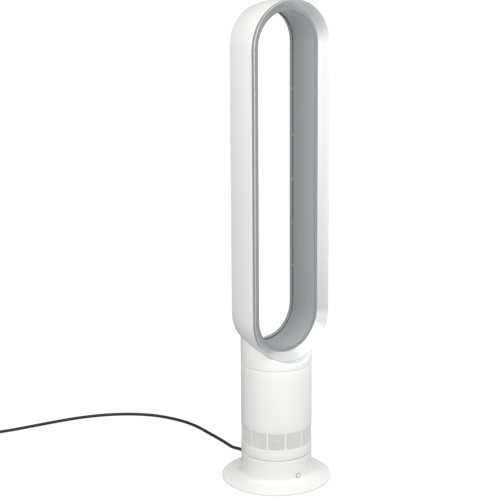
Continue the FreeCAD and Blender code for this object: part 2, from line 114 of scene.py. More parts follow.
# ---- the power cord, on the same route as the CAD tube (millimetres) ----
CORD_D = 7 * MM
CORD_ROUTE = [
    (0, 102, 16),
    (0, 127, 16),
    (4, 151, 9.6),
    (9, 174, 4.2),
    (13, 201, 3.6),
    (15.5, 232, 3.6),
    (16.5, 265, 3.6),
    (18.5, 299, 3.6),
    (18.5, 333, 3.6),
    (12, 369, 3.6),
    (0, 404, 3.6),
    (-19, 440, 3.6),
    (-49, 474, 3.6),
    (-88, 503, 3.6),
    (-134, 525, 3.6),
    (-184, 540, 3.6),
    (-236, 549, 3.6),
    (-288, 556, 3.6),
    (-340, 564, 3.6),
    (-388, 578, 3.6),
    (-431, 602, 4.2),
]
# The put-away turns: degrees from the coil's start, radius and height there, in millimetres.
COIL_STEPS = [
    (0, 42, 4.5),
    (290, 42, 4.5),
    (350, 35, 4.5),
    (580, 35, 4.5),
    (640, 35, 11.6),
    (900, 35, 11.6),
    (960, 42, 11.6),
    (1235, 42, 11.6),
    (1320, 41.5, 18.8),
    (1440, 42, 19.2),
    (1525, 44, 23.2),
]
COIL_START = 54
TURN_POINTS = 16
PLUG_ANGLE = math.radians(-85)
PLUG_TURN = Matrix.Rotation(PLUG_ANGLE, 4, "Z")
PLUG_ALONG = PLUG_TURN @ Vector((1, 0, 0))
PLUG_THICK = 17 * MM
# The cord's last two points: one this far before the plug, one this far inside its grip.
CORD_BEFORE_PLUG = 9 * MM
CORD_IN_PLUG = 8 * MM
PLUG_PLACE = Matrix.Translation((-0.4992, 0.5822, COIL_HIGH.z + PLUG_THICK / 2)) @ PLUG_TURN


def between(table, t):
    """The rest of the row at t, read in a table of rows that start with their t."""
    for low, high in zip(table, table[1:]):
        if t <= high[0]:
            f = (t - low[0]) / (high[0] - low[0])
            return [a + (b - a) * f for a, b in zip(low[1:], high[1:])]
    return list(table[-1][1:])


def cord_points():
    points = [Vector(p) * MM for p in CORD_ROUTE]
    middle = (COIL_LOW + COIL_HIGH) / 2
    step = 360 / TURN_POINTS
    # A spline of order 3 runs inside its points by this much.
    inside = (3 + math.cos(math.radians(step))) / 4
    for k in range(1, int(COIL_STEPS[-1][0] / step) + 1):
        t = k * step
        radius, z = between(COIL_STEPS, t)
        angle = math.radians(COIL_START + t)
        radius = radius * MM / inside
        x, y = middle.x + radius * math.cos(angle), middle.y + radius * math.sin(angle)
        points.append(Vector((x, y, z * MM)))
    root = PLUG_PLACE.translation
    points += [root - PLUG_ALONG * CORD_BEFORE_PLUG, root + PLUG_ALONG * CORD_IN_PLUG]
    return points


def add_cord():
    curve = bpy.data.curves.new("cord", "CURVE")
    curve.dimensions = "3D"
    curve.bevel_depth = CORD_D / 2
    curve.bevel_resolution = 5
    curve.resolution_u = 10
    curve.use_fill_caps = True
    points = cord_points()
    spline = curve.splines.new("NURBS")
    spline.points.add(len(points) - 1)
    for point, place in zip(spline.points, points):
        point.co = (*place, 1)
    spline.order_u = 3
    spline.use_endpoint_u = True
    cord = bpy.data.objects.new("cord", curve)
    bpy.context.scene.collection.objects.link(cord)
    return cord


# ---- mesh helpers ----
def new_piece(name, vertices, faces, sharp=35):
    """A smooth-shaded mesh piece whose edges sharper than the angle stay sharp."""
    mesh = bpy.data.meshes.new(name)
    mesh.from_pydata([tuple(v) for v in vertices], [], faces)
    piece = bpy.data.objects.new(name, mesh)
    bpy.context.scene.collection.objects.link(piece)
    return tidy_mesh(piece, sharp)


def tidy_mesh(piece, sharp=35):
    bm = bmesh.new()
    bm.from_mesh(piece.data)
    bmesh.ops.remove_doubles(bm, verts=bm.verts, dist=2e-6)
    bmesh.ops.recalc_face_normals(bm, faces=bm.faces)
    bm.to_mesh(piece.data)
    bm.free()
    piece.data.shade_smooth()
    piece.data.set_sharp_from_angle(angle=math.radians(sharp))
    return piece


def grid_faces(down, across, wrap_down=False, wrap_across=False, skip=None):
    """Faces of a grid of down x across points, in rows."""
    faces = []
    for i in range(down if wrap_down else down - 1):
        for j in range(across if wrap_across else across - 1):
            if skip and skip(i, j):
                continue
            a, b = (i + 1) % down, (j + 1) % across
            faces.append((i * across + j, i * across + b, a * across + b, a * across + j))
    return faces


def band_faces(a, b, count):
    """Faces between two closed outlines of count points that start at a and at b."""
    return [(a + i, a + (i + 1) % count, b + (i + 1) % count, b + i) for i in range(count)]


def modified(piece, kind, sharp=35, **settings):
    """Adds a modifier and makes its result the piece's mesh."""
    modifier = piece.modifiers.new(kind.title(), kind)
    for key, value in settings.items():
        setattr(modifier, key, value)
    graph = bpy.context.evaluated_depsgraph_get()
    graph.update()
    mesh = bpy.data.meshes.new_from_object(piece.evaluated_get(graph))
    piece.modifiers.clear()
    piece.data = mesh
    return tidy_mesh(piece, sharp)


def bevelled(piece, width, segments, limit):
    """Rounds the edges sharper than the limit."""
    return modified(
        piece, "BEVEL", 30, width=width, segments=segments,
        limit_method="ANGLE", angle_limit=math.radians(limit),
    )


def circle_of(a, b, c):
    """Middle and radius of the circle through three points."""
    (ax, ay), (bx, by), (cx, cy) = a, b, c
    d = 2 * (ax * (by - cy) + bx * (cy - ay) + cx * (ay - by))
    sa, sb, sc = ax * ax + ay * ay, bx * bx + by * by, cx * cx + cy * cy
    x = (sa * (by - cy) + sb * (cy - ay) + sc * (ay - by)) / d
    y = (sa * (cx - bx) + sb * (ax - cx) + sc * (bx - ax)) / d
    return x, y, math.hypot(ax - x, ay - y)


def arc(a, through, b, steps):
    """Points of the arc from a to b, both ends included."""
    x, y, radius = circle_of(a, through, b)
    start = math.atan2(a[1] - y, a[0] - x)
    way = (math.atan2(through[1] - y, through[0] - x) - start) % (2 * math.pi)
    full = (math.atan2(b[1] - y, b[0] - x) - start) % (2 * math.pi)
    if way > full:
        full -= 2 * math.pi
    angles = [start + full * k / steps for k in range(steps + 1)]
    return [(x + radius * math.cos(t), y + radius * math.sin(t)) for t in angles]


def rounded(corners, steps=4):
    """A closed outline in which each (x, y, radius) corner is rounded as far as its sides allow."""
    result = []
    count = len(corners)
    for i, corner in enumerate(corners):
        here = Vector(corner[:2])
        radius = corner[2] if len(corner) > 2 else 0
        before = Vector(corners[i - 1][:2]) - here
        after = Vector(corners[(i + 1) % count][:2]) - here
        half = before.angle(after) / 2
        if radius == 0 or half > math.radians(85):
            result.append(tuple(here))
            continue
        reach = min(radius / math.tan(half), 0.48 * before.length, 0.48 * after.length)
        start, end = here + before.normalized() * reach, here + after.normalized() * reach
        bisector = (before.normalized() + after.normalized()).normalized()
        size = reach * math.tan(half)
        through = here + bisector * (size / math.sin(half) - size)
        result += arc(tuple(start), tuple(through), tuple(end), steps)
    return result


def lathe(name, section, steps=192, sharp=35):
    """Turns a closed section of (radius, height) about Z."""
    vertices = []
    for k in range(steps):
        t = 2 * math.pi * k / steps
        vertices += [(r * math.cos(t), r * math.sin(t), z) for r, z in section]
    return new_piece(name, vertices, grid_faces(steps, len(section), True, True), sharp)


def lathe_along_y(name, section, middle, steps=64, sharp=35):
    """Turns a section of (radius, distance along +Y) about the Y line through middle.
    A section that starts at radius 0 is closed by its ends."""
    vertices = []
    for k in range(steps):
        t = 2 * math.pi * k / steps
        for r, y in section:
            vertices.append((middle[0] + r * math.cos(t), middle[1] + y, middle[2] + r * math.sin(t)))
    closed = section[0][0] > 0
    return new_piece(name, vertices, grid_faces(steps, len(section), True, closed), sharp)


LIMB_STEPS = 24
ARC_STEPS = 96


def loop_stations():
    """(height of the arc's middle, angle round it) at each station once round the loop."""
    limb = ARC_HIGH - ARC_LOW
    stations = []
    for k in range(LIMB_STEPS):
        stations.append((ARC_LOW + limb * k / LIMB_STEPS, 0))
    for k in range(ARC_STEPS):
        stations.append((ARC_HIGH, math.pi * k / ARC_STEPS))
    for k in range(LIMB_STEPS):
        stations.append((ARC_HIGH - limb * k / LIMB_STEPS, math.pi))
    for k in range(ARC_STEPS):
        stations.append((ARC_LOW, math.pi + math.pi * k / ARC_STEPS))
    return stations


def loop_sweep(name, section, sharp=30):
    """Sweeps a closed section of (outward, forward) points, in metres, round the loop."""
    vertices = []
    stations = loop_stations()
    for middle, t in stations:
        vertices += [(u * math.cos(t), -v, middle + u * math.sin(t)) for u, v in section]
    return new_piece(name, vertices, grid_faces(len(stations), len(section), True, True), sharp)


def cut_flat(piece, height, keep_above, sharp=30):
    """Cuts a closed piece at a height and closes the cut."""
    bm = bmesh.new()
    bm.from_mesh(piece.data)
    geometry = bm.verts[:] + bm.edges[:] + bm.faces[:]
    result = bmesh.ops.bisect_plane(
        bm, geom=geometry, dist=1e-7, plane_co=(0, 0, height), plane_no=(0, 0, 1),
        clear_inner=keep_above, clear_outer=not keep_above,
    )
    edges = [e for e in result["geom_cut"] if isinstance(e, bmesh.types.BMEdge)]
    bmesh.ops.triangle_fill(bm, edges=edges, use_beauty=True)
    bm.to_mesh(piece.data)
    bm.free()
    return tidy_mesh(piece, sharp)


def scaled(points):
    return [tuple(c * MM for c in p) for p in points]


# ---- the loop's section, in millimetres outward and forward of its middle line ----
SKIN_FRONT, SKIN_MID, SKIN_REAR = (95.0, 47.0), (91.3, 2.0), (80.6, -44.5)
NOSE_MID = (79.13, -46.65)
LIP_MID, LIP_ROOT = (71.9, -45.6), (69.0, -42.0)
LIP_TIP, LIP_BACK = (68.2, -34.5), (69.2, -34.5)
FOIL_REAR, FOIL_MID, FOIL_FRONT = (70.9, -35.0), (69.3, 0.0), (71.5, 36.0)
LEDGE = (77.9, 38.1)
FLARE = (94.2, 55.0)
SKIN_ARC = circle_of(SKIN_FRONT, SKIN_MID, SKIN_REAR)


def skin_half(v):
    """How far out the loop's skin stands at a place forward of its middle, as the neck meets it."""
    v = max(SKIN_REAR[1], min(SKIN_FRONT[1], v / MM))
    middle_u, middle_v, radius = SKIN_ARC
    side = 1 if SKIN_MID[0] > middle_u else -1
    return (middle_u + side * math.sqrt(radius ** 2 - (v - middle_v) ** 2)) * MM


def make_skins():
    """The white shell in two halves, and its edge rounded in to the seams."""
    outside = arc((94.97, 46.3), SKIN_MID, SKIN_REAR, 24)
    nose = arc(SKIN_REAR, NOSE_MID, (76.9, -47.49), 8)
    inner_nose = arc((76.6, -45.0), (77.63, -44.65), (78.2, -43.8), 5)
    inside = arc((78.2, -43.8), (SKIN_MID[0] - 2.5, SKIN_MID[1]), (92.5, 47.0), 14)
    section = outside + nose[1:] + [(76.62, -47.2)] + inner_nose + inside[1:] + [(94.3, 47.0), (94.8, 46.8)]
    halves = []
    for name, height, above in (
        ("skin_upper", PARTING_Z + PARTING_GAP / 2, True),
        ("skin_lower", PARTING_Z - PARTING_GAP / 2, False),
    ):
        halves.append(cut_flat(loop_sweep(name, scaled(section)), height, above))
    return halves


def make_lip():
    """The grey rear edge, from the white shell's nose in to the slot."""
    outside = arc((76.3, -47.5), LIP_MID, LIP_ROOT, 14)
    tip = arc(LIP_TIP, (68.7, -34.1), LIP_BACK, 4)
    inside = arc((70.2, -40.6), (73.0, -43.7), (76.6, -45.0), 10)
    section = outside + [(68.75, -40.0), (68.4, -37.0)] + tip + inside + [(76.58, -47.2)]
    return loop_sweep("rear_lip", scaled(section), 30)


def make_airfoil():
    foil = arc(FOIL_REAR, FOIL_MID, FOIL_FRONT, 24)
    # The edge where the foil meets the ledge is softly rounded.
    turn = [(71.68, 37.0), (72.3, 37.55)]
    back = [(77.9, 35.9), (73.9, 33.4)] + arc((73.9, 33.4), (71.7, 0.0), (73.3, -35.0), 16)[1:]
    rear = arc((73.1, -37.4), (72.4, -37.6), (71.6, -37.2), 4)
    section = foil[:-1] + [(71.45, 35.4), (71.5, 36.2)] + turn + [LEDGE] + back + rear
    return loop_sweep("airfoil", scaled(section), 25)


def make_bezel():
    corners = [
        (LEDGE[0], LEDGE[1], 0.35), (FLARE[0], FLARE[1], 0.5), (95.0, 55.0, 0.6),
        (95.0, 47.0, 0.3), (92.5, 47.0, 0), (92.5, 50.8, 0), (77.9, 35.9, 0),
    ]
    section = rounded([tuple(c * MM for c in corner) for corner in corners])
    return loop_sweep("bezel", section, 25)


# ---- the column: base cover, tower cover, neck ----
DUCT_HOLE_R = 38.1 * MM
SEAT_GAP = 0.25 * MM
RELIEF_HOLE_R = 6.05 * MM
CUTTER_REACH = 14 * MM


def make_neck():
    """The collar that the loop sits in: a tube whose top is hollowed to the loop's skin,
    with a softly rounded shoulder."""
    low = NECK_LOW.z
    around = 240
    roof_steps = 10
    hole = DUCT_HOLE_R
    vertices = []
    for k in range(around):
        t = 2 * math.pi * k / around

        def roof(r):
            x, v = r * math.cos(t), -r * math.sin(t)
            return ARC_LOW - math.sqrt(skin_half(v) ** 2 - x * x) - SEAT_GAP

        front = max(0, -math.sin(t))
        reach = (1.6 + 4.4 * front ** 3) * MM
        corner = Vector((BODY_R, roof(BODY_R)))
        below = corner - Vector((0, reach))
        inward = Vector((BODY_R - reach, roof(BODY_R - reach)))
        profile = [(BODY_R - 0.5 * MM, low), (BODY_R, low + 0.5 * MM), tuple(below)]
        for i in range(1, 9):
            f = i / 8
            p = below * (1 - f) ** 2 + corner * 2 * f * (1 - f) + inward * f * f
            profile.append(tuple(p))
        for i in range(1, roof_steps + 1):
            r = inward.x + (hole - inward.x) * i / roof_steps
            profile.append((r, roof(r)))
        under = [(r, z - WALL) for r, z in profile[-roof_steps:] if r < BORE_R - 3 * MM]
        while len(under) < roof_steps:
            under.insert(0, (BORE_R, roof(BORE_R) - 2 * WALL))
        profile += [under[-1 - i] for i in range(len(under))]
        profile += [(BORE_R, low)]
        vertices += [(r * math.cos(t), r * math.sin(t), z) for r, z in profile]
        across = len(profile)
    return new_piece("neck_cover", vertices, grid_faces(around, across, True, True), 30)


def make_base():
    top = DISC_HIGH.z / MM
    disc = DISC_R / MM
    bore, body = BORE_R / MM, BODY_R / MM
    fillet = arc((body, 19.0), (76.9, 11.9), (86.0, 8.4), 20)
    inner_fillet = arc((86.0, 6.6), (75.3, 10.4), (bore, 19.0), 10)
    rim = arc((disc - 1.5, 4.2), (disc - 0.35, 3.65), (disc, 2.4), 8)
    wall = [(body, z) for z in (52.0, 46.0, 40.0, 35.0, 31.0, 28.5, 26.5, 24.5, 22.5, 20.5)]
    section = [(bore, top), (body - 0.6, top), (body - 0.18, top - 0.18), (body, top - 0.6)]
    section += wall + fillet + [(95.0, 6.97), (105.0, 5.42)] + rim
    section += [(disc, 1.6), (disc - 0.3, 1.2), (disc - 1.8, 1.2), (disc - 1.8, 2.4)] + inner_fillet
    base = lathe("base_cover", scaled(section), 224)
    ring_middle = (RING_LOW + RING_HIGH) / 2
    ring_r = (RING_HIGH.x - RING_LOW.x) / 2 + 0.08 * MM
    relief_z = (RELIEF_LOW.z + RELIEF_HIGH.z) / 2
    for y, z, r in ((ring_middle.y, ring_middle.z, ring_r), (BODY_R, relief_z, RELIEF_HOLE_R)):
        section = [(0, -CUTTER_REACH), (r, -CUTTER_REACH), (r, CUTTER_REACH), (0, CUTTER_REACH)]
        cutter = lathe_along_y("cutter", section, (0, y, z), 48)
        base = modified(base, "BOOLEAN", operation="DIFFERENCE", object=cutter, solver="EXACT")
        bpy.data.objects.remove(cutter)
    return base


WINDOWS = 12
WINDOW_SPAN = math.radians(27.2)
WINDOW_PITCH = 2 * math.pi / WINDOWS
WINDOW_START = math.radians(-82.5 - 90) + WINDOW_PITCH / 2


def make_tower():
    low, high = TUBE_LOW.z, TUBE_HIGH.z
    columns = []
    cells = 16
    for k in range(WINDOWS):
        start = WINDOW_START + k * WINDOW_PITCH - WINDOW_SPAN / 2
        columns += [start + WINDOW_SPAN * i / cells for i in range(cells + 1)]
    per_window = cells + 1
    heights = [low, 68 * MM, PANEL_LOW.z, PANEL_LOW.z + 12 * MM, PANEL_LOW.z + 23 * MM, PANEL_HIGH.z]
    heights += [PANEL_HIGH.z + (high - PANEL_HIGH.z) * i / 8 for i in range(1, 9)]
    vertices = [(BODY_R * math.cos(t), BODY_R * math.sin(t), z) for z in heights for t in columns]

    def in_window(i, j):
        return heights[i] > PANEL_LOW.z - 1e-6 and heights[i] < PANEL_HIGH.z - 1e-6 and j % per_window < cells

    tower = new_piece("tower_cover", vertices, grid_faces(len(heights), len(columns), False, True, in_window))
    tower = modified(tower, "SOLIDIFY", thickness=WALL, offset=-1, use_even_offset=True)
    return bevelled(tower, 0.45 * MM, 3, 40)


HOLE_PITCH = 2.05 * MM
HOLE_R = 0.66 * MM
HOLE_SIDES = 8


def make_panels():
    """Twelve curved panels, each pierced by rows of small round holes."""
    outer, inner = PANEL_HIGH.y, PANEL_HIGH.y - 1.4 * MM
    height = PANEL_HIGH.z - PANEL_LOW.z
    columns = round(outer * WINDOW_SPAN / HOLE_PITCH)
    rows = round(height / HOLE_PITCH)
    width = outer * WINDOW_SPAN / columns
    tall = height / rows
    corners_of = [(1, 1), (-1, 1), (-1, -1), (1, -1)]
    vertices, faces = [], []
    for k in range(WINDOWS):
        start = WINDOW_START + k * WINDOW_PITCH - WINDOW_SPAN / 2

        def wrap(s, z, r):
            t = start + s / outer
            return (r * math.cos(t), r * math.sin(t), PANEL_LOW.z + z)

        for i in range(rows):
            for j in range(columns):
                s, z = (j + 0.5) * width, (i + 0.5) * tall
                first = len(vertices)
                for r in (outer, inner):
                    vertices += [wrap(s + a * width / 2, z + b * tall / 2, r) for a, b in corners_of]
                    for h in range(HOLE_SIDES):
                        t = 2 * math.pi * (h + 0.5) / HOLE_SIDES
                        vertices.append(wrap(s + HOLE_R * math.cos(t), z + HOLE_R * math.sin(t), r))
                for side in (0, 1):
                    c, h = first + side * (4 + HOLE_SIDES), first + side * (4 + HOLE_SIDES) + 4
                    for q in range(4):
                        a, b = 2 * q, 2 * q + 1
                        face = [c + q, c + (q + 1) % 4, h + (b + 1) % HOLE_SIDES, h + b, h + a]
                        faces.append(face if side == 0 else face[::-1])
                for h in range(HOLE_SIDES):
                    g = (h + 1) % HOLE_SIDES
                    near, far = first + 4, first + 8 + HOLE_SIDES
                    faces.append((near + h, near + g, far + g, far + h))
                rim = []
                if i == 0:
                    rim.append((2, 3))
                if i == rows - 1:
                    rim.append((0, 1))
                if j == 0:
                    rim.append((1, 2))
                if j == columns - 1:
                    rim.append((3, 0))
                for a, b in rim:
                    near, far = first, first + 4 + HOLE_SIDES
                    faces.append((near + a, near + b, far + b, far + a))
    return new_piece("inlet_panels", vertices, faces, 30)


# ---- small pieces ----
def make_button():
    """A dished white cap that stands in its ring, with the travel behind it."""
    r = (BUTTON_HIGH.x - BUTTON_LOW.x) / 2
    cap = 4.15 * MM
    section = [(0, 0.30 * MM), (1.6 * MM, 0.24 * MM), (2.9 * MM, 0.08 * MM), (3.6 * MM, 0)]
    section += [(cap - 0.15 * MM, 0.1 * MM), (cap, 0.4 * MM), (cap, 4 * MM)]
    section += [(r, 4 * MM), (r, 5 * MM), (1.5 * MM, 5 * MM)]
    section += [(1.5 * MM, BUTTON_HIGH.y - BUTTON_LOW.y), (0, BUTTON_HIGH.y - BUTTON_LOW.y)]
    middle = (BUTTON_LOW + BUTTON_HIGH) / 2
    return lathe_along_y("button_cap", section, (0, BUTTON_LOW.y, middle.z))


def make_ring():
    bore = 4.25 * MM
    outer = (RING_HIGH.x - RING_LOW.x) / 2
    depth = RING_HIGH.y - RING_LOW.y
    corners = [
        (bore, 0, 0.3 * MM), (outer, 0.1 * MM, 0.5 * MM), (outer, depth, 0), (bore, depth, 0),
    ]
    middle = (RING_LOW + RING_HIGH) / 2
    return lathe_along_y("button_bezel", rounded(corners), (0, RING_LOW.y, middle.z))


SPACER_HEIGHTS = (0.440, 0.533, 0.6255, 0.718, 0.814)


def make_spacers():
    """Small ribs that hold the slot open, each with eased edges."""
    vertices, faces = [], []
    near, far = LIP_BACK[0] * MM, FOIL_REAR[0] * MM
    front, rear = SPACER_LOW.y, SPACER_HIGH.y
    half, ease = 2.5 * MM, 0.4 * MM
    outline = rounded([(-half, front, ease), (half, front, ease), (half, rear, ease), (-half, rear, ease)], 3)
    for z in SPACER_HEIGHTS:
        for side in (-1, 1):
            first, count = len(vertices), len(outline)
            for u in (near, far):
                vertices += [(side * u, y, z + h) for h, y in outline]
            faces += band_faces(first, first + count, count)
            faces += [tuple(range(first, first + count)), tuple(range(first + count, first + 2 * count))]
    return new_piece("slot_ribs", vertices, faces)


def make_relief():
    """The cord's strain relief: a flange, then a taper whose rings make it flexible."""
    start, end = RELIEF_LOW.y, RELIEF_HIGH.y
    section = [(0, 0), (7.4 * MM, 0), (7.4 * MM, 2 * MM), (6 * MM, 2 * MM), (6 * MM, 6.2 * MM)]
    rings = 6
    length = end - start - 7 * MM
    for k in range(rings):
        a = 7 * MM + length * k / rings
        size = (6.0 - 1.8 * k / rings) * MM
        pitch = length / rings
        section += [
            (size - 0.1 * MM, a), (size, a + 0.12 * pitch), (size - 0.1 * MM, a + 0.62 * pitch),
            (size - 1.1 * MM, a + 0.70 * pitch), (size - 1.1 * MM, a + 0.90 * pitch),
        ]
    section += [(4.2 * MM, end - start - 0.4 * MM), (3.9 * MM, end - start), (0, end - start)]
    relief_z = (RELIEF_LOW.z + RELIEF_HIGH.z) / 2
    return lathe_along_y("cord_relief", section, (0, start, relief_z), 48, 30)


def make_tie():
    """A flat band closed round the coil's turns."""
    middle = (COIL_LOW + COIL_HIGH) / 2
    inner, outer = (COIL_HIGH.x - COIL_LOW.x) / 2 - 14 * MM, (COIL_HIGH.x - COIL_LOW.x) / 2
    low, high = COIL_LOW.z, COIL_HIGH.z
    thick = 0.9 * MM
    rings = []
    for grow, radius in ((0.05 * MM, 3.2 * MM), (thick, 4.0 * MM)):
        rings.append(rounded([
            (inner - grow, low - grow, radius), (outer + grow, low - grow, radius),
            (outer + grow, high + grow, radius), (inner - grow, high + grow, radius),
        ], 6))
    count = len(rings[0])
    vertices, faces = [], []
    turn = Matrix.Rotation(math.radians(-20), 4, "Z")
    for ring in rings:
        for y in (-5 * MM, 5 * MM):
            vertices += [turn @ Vector((r, y, z)) + Vector((middle.x, middle.y, 0)) for r, z in ring]
    for a, b in ((0, 1), (1, 3), (3, 2), (2, 0)):
        faces += band_faces(a * count, b * count, count)
    tie = new_piece("cord_band", vertices, faces, 30)
    return bevelled(tie, 0.25 * MM, 2, 50)


def box_outline(half_width, half_height, radius, steps=5):
    return rounded([
        (-half_width, -half_height, radius), (half_width, -half_height, radius),
        (half_width, half_height, radius), (-half_width, half_height, radius),
    ], steps)


def lofted(name, sections, sharp=35):
    """Joins outlines of (y, z), each at its own x, and closes both ends."""
    count = len(sections[0][1])
    vertices = [(x, y, z) for x, outline in sections for y, z in outline]
    faces = grid_faces(len(sections), count, False, True)
    faces += [tuple(range(count)), tuple(range((len(sections) - 1) * count, len(sections) * count))]
    return new_piece(name, vertices, faces, sharp)


def make_plug():
    """A moulded two-pin plug: a ribbed relief that swells into a waisted grip."""
    sections = []
    for k in range(5):
        x = k * 3.2
        size = 4.6 + 1.9 * x / 16
        for dx, dr in ((0.0, 0.0), (1.9, 0.0), (2.1, -0.9), (3.0, -0.9)):
            sections.append((x + dx, size + dr, size + dr, size + dr - 0.01))
    sections += [
        (16.2, 7.2, 6.6, 6.2), (17.0, 9.6, 7.6, 5.2), (18.5, 11.2, 8.2, 4.2),
        (21.0, 11.9, 8.45, 3.6), (24.0, 11.6, 8.3, 3.2), (28.0, 11.1, 7.9, 3.2),
        (32.0, 11.3, 8.0, 3.2), (36.0, 11.9, 8.45, 3.2), (38.6, 12.0, 8.5, 3.0),
        (39.6, 11.6, 8.1, 2.8), (40.0, 10.8, 7.4, 2.4),
    ]
    outlines = [(x * MM, box_outline(w * MM, h * MM, r * MM, 6)) for x, w, h, r in sections]
    plug = lofted("plug_grip", outlines, 32)
    plug.data.transform(PLUG_PLACE)
    return plug


def make_pins():
    vertices, faces = [], []
    for y in (-6.35, 6.35):
        sections = [(40.0, 3.2, 0.75), (54.8, 3.2, 0.75), (56.0, 2.6, 0.35)]
        for x, w, h in sections:
            corners = ((-1, -1), (1, -1), (1, 1), (-1, 1))
            vertices += [(x * MM, (y + a * h) * MM, b * w * MM) for a, b in corners]
    for first in (0, 12):
        for k in (0, 4):
            faces += band_faces(first + k, first + k + 4, 4)
        faces += [tuple(first + i for i in range(4)), tuple(first + 8 + i for i in range(4))]
    pins = new_piece("plug_blades", vertices, faces)
    pins = bevelled(pins, 0.2 * MM, 2, 30)
    pins.data.transform(PLUG_PLACE)
    return pins


def make_foot():
    """The rubber ring that the fan stands on, with grooves in its sole."""
    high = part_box("foot_ring")[1]
    outer, inner = high.x / MM, 95.0
    top = high.z / MM
    section = [(inner, top), (inner, 0.5), (inner + 0.5, 0.0)]
    r = inner + 1.0
    while r + 1.6 < outer:
        section += [(r, 0.0), (r + 0.3, 0.45), (r + 0.9, 0.45), (r + 1.2, 0.0)]
        r += 2.0
    section += [(outer - 0.5, 0.0), (outer, 0.5), (outer, top)]
    return lathe("foot_rubber", scaled(section), 160)


SCREWS = 6
SCREW_CIRCLE_R = 60 * MM


def make_screws():
    """Six domed screws with a cross recess, under the base."""
    low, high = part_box("bottom_screws")
    circle = SCREW_CIRCLE_R
    vertices, faces = [], []
    steps = 48
    length = high.z / MM - low.z / MM
    profile = [(0, 0.25), (0.9, 0.22), (1.6, 0.12), (2.3, 0.1), (2.8, 0.35), (3.0, 0.8), (3.0, 1.0)]
    profile += [(1.5, 1.0), (1.5, 9.0), (1.42, 9.3), (1.5, 9.6), (1.42, 9.9), (1.5, 10.2)]
    profile += [(0.9, length), (0, length)]
    for k in range(SCREWS):
        angle = 2 * math.pi * k / SCREWS
        first = len(vertices)
        for i in range(steps):
            t = 2 * math.pi * i / steps
            cross = max(0.0, 1 - abs(math.sin(2 * t)) * 2.2)
            for n, (r, z) in enumerate(profile):
                sunk = 0.55 * cross if 0 < n < 3 else 0.55 if n == 0 else 0
                vertices.append((
                    circle * math.cos(angle) + r * MM * math.cos(t),
                    circle * math.sin(angle) + r * MM * math.sin(t),
                    low.z + (z + sunk) * MM,
                ))
        faces += [tuple(first + v for v in face) for face in grid_faces(steps, len(profile), True, False)]
    return new_piece("base_screws", vertices, faces)


# ---- materials ----
class Nodes:
    """A short way to build a material's nodes."""

    def __init__(self, name):
        self.material = bpy.data.materials.new(name)
        self.material.use_nodes = True
        self.tree = self.material.node_tree
        self.shader = self.tree.nodes["Principled BSDF"]
        self.place = self.add("ShaderNodeTexCoord").outputs["Object"]

    def add(self, kind, inputs=None, **settings):
        node = self.tree.nodes.new(kind)
        for key, value in settings.items():
            setattr(node, key, value)
        for key, value in (inputs or {}).items():
            if isinstance(value, bpy.types.NodeSocket):
                self.tree.links.new(value, node.inputs[key])
            else:
                node.inputs[key].default_value = value
        return node

    def link(self, source, socket):
        self.tree.links.new(source, self.shader.inputs[socket])

    def set(self, **values):
        for key, value in values.items():
            self.shader.inputs[key.replace("_", " ")].default_value = value

    def math(self, operation, a, b=0.0):
        return self.add("ShaderNodeMath", {0: a, 1: b}, operation=operation).outputs[0]

    def noise(self, scale, detail=3.0, rough=0.55, vector=None):
        return self.add("ShaderNodeTexNoise", {
            "Vector": vector or self.place, "Scale": scale, "Detail": detail, "Roughness": rough,
        }).outputs["Fac"]

    def spread(self, value, low, high, start=0.3, end=0.7):
        """Maps start..end of a value to low..high."""
        return self.add("ShaderNodeMapRange", {
            "Value": value, "From Min": start, "From Max": end, "To Min": low, "To Max": high,
        }).outputs["Result"]

    def tint(self, factor, first, second):
        """Mixes two colours, of which the first may be another node's output."""
        if not isinstance(first, bpy.types.NodeSocket):
            first = (*first, 1)
        inputs = {"Factor": factor, "A": first, "B": (*second, 1)}
        return self.add("ShaderNodeMix", inputs, data_type="RGBA").outputs["Result"]

    def bump(self, height, depth, strength=1.0):
        node = self.add("ShaderNodeBump", {"Height": height, "Distance": depth, "Strength": strength})
        self.link(node.outputs["Normal"], "Normal")


def shade(color, by):
    return tuple(max(0.0, min(1.0, c * (1 + by))) for c in color)


def moulded(name, color, rough, grain, depth, vary, metallic=0.0, coat=0.0):
    """Moulded plastic or a plain finish: faint mottling, fine grain and uneven gloss."""
    n = Nodes(name)
    cloud = n.noise(14, 4)
    n.link(n.tint(cloud, shade(color, -vary), shade(color, vary)), "Base Color")
    n.link(n.spread(n.noise(60, 3), rough - 0.04, rough + 0.04), "Roughness")
    n.bump(n.noise(grain, 2, 0.6), depth)
    n.set(Metallic=metallic)
    if coat:
        n.set(Coat_Weight=coat, Coat_Roughness=0.15)
    return n.material


def loop_place(n):
    """(distance out from the loop's middle line, depth) of a point, for streaks that run along it."""
    parts = n.add("ShaderNodeSeparateXYZ", {"Vector": n.place}).outputs
    held = n.math("MINIMUM", n.math("MAXIMUM", parts["Z"], ARC_LOW), ARC_HIGH)
    rise = n.math("SUBTRACT", parts["Z"], held)
    squares = n.math("ADD", n.math("MULTIPLY", parts["X"], parts["X"]), n.math("MULTIPLY", rise, rise))
    out = n.math("SQRT", squares)
    slow = n.math("MULTIPLY", n.noise(3.0, 1), 0.004)
    return n.add("ShaderNodeCombineXYZ", {"X": out, "Y": parts["Y"], "Z": slow}).outputs[0]


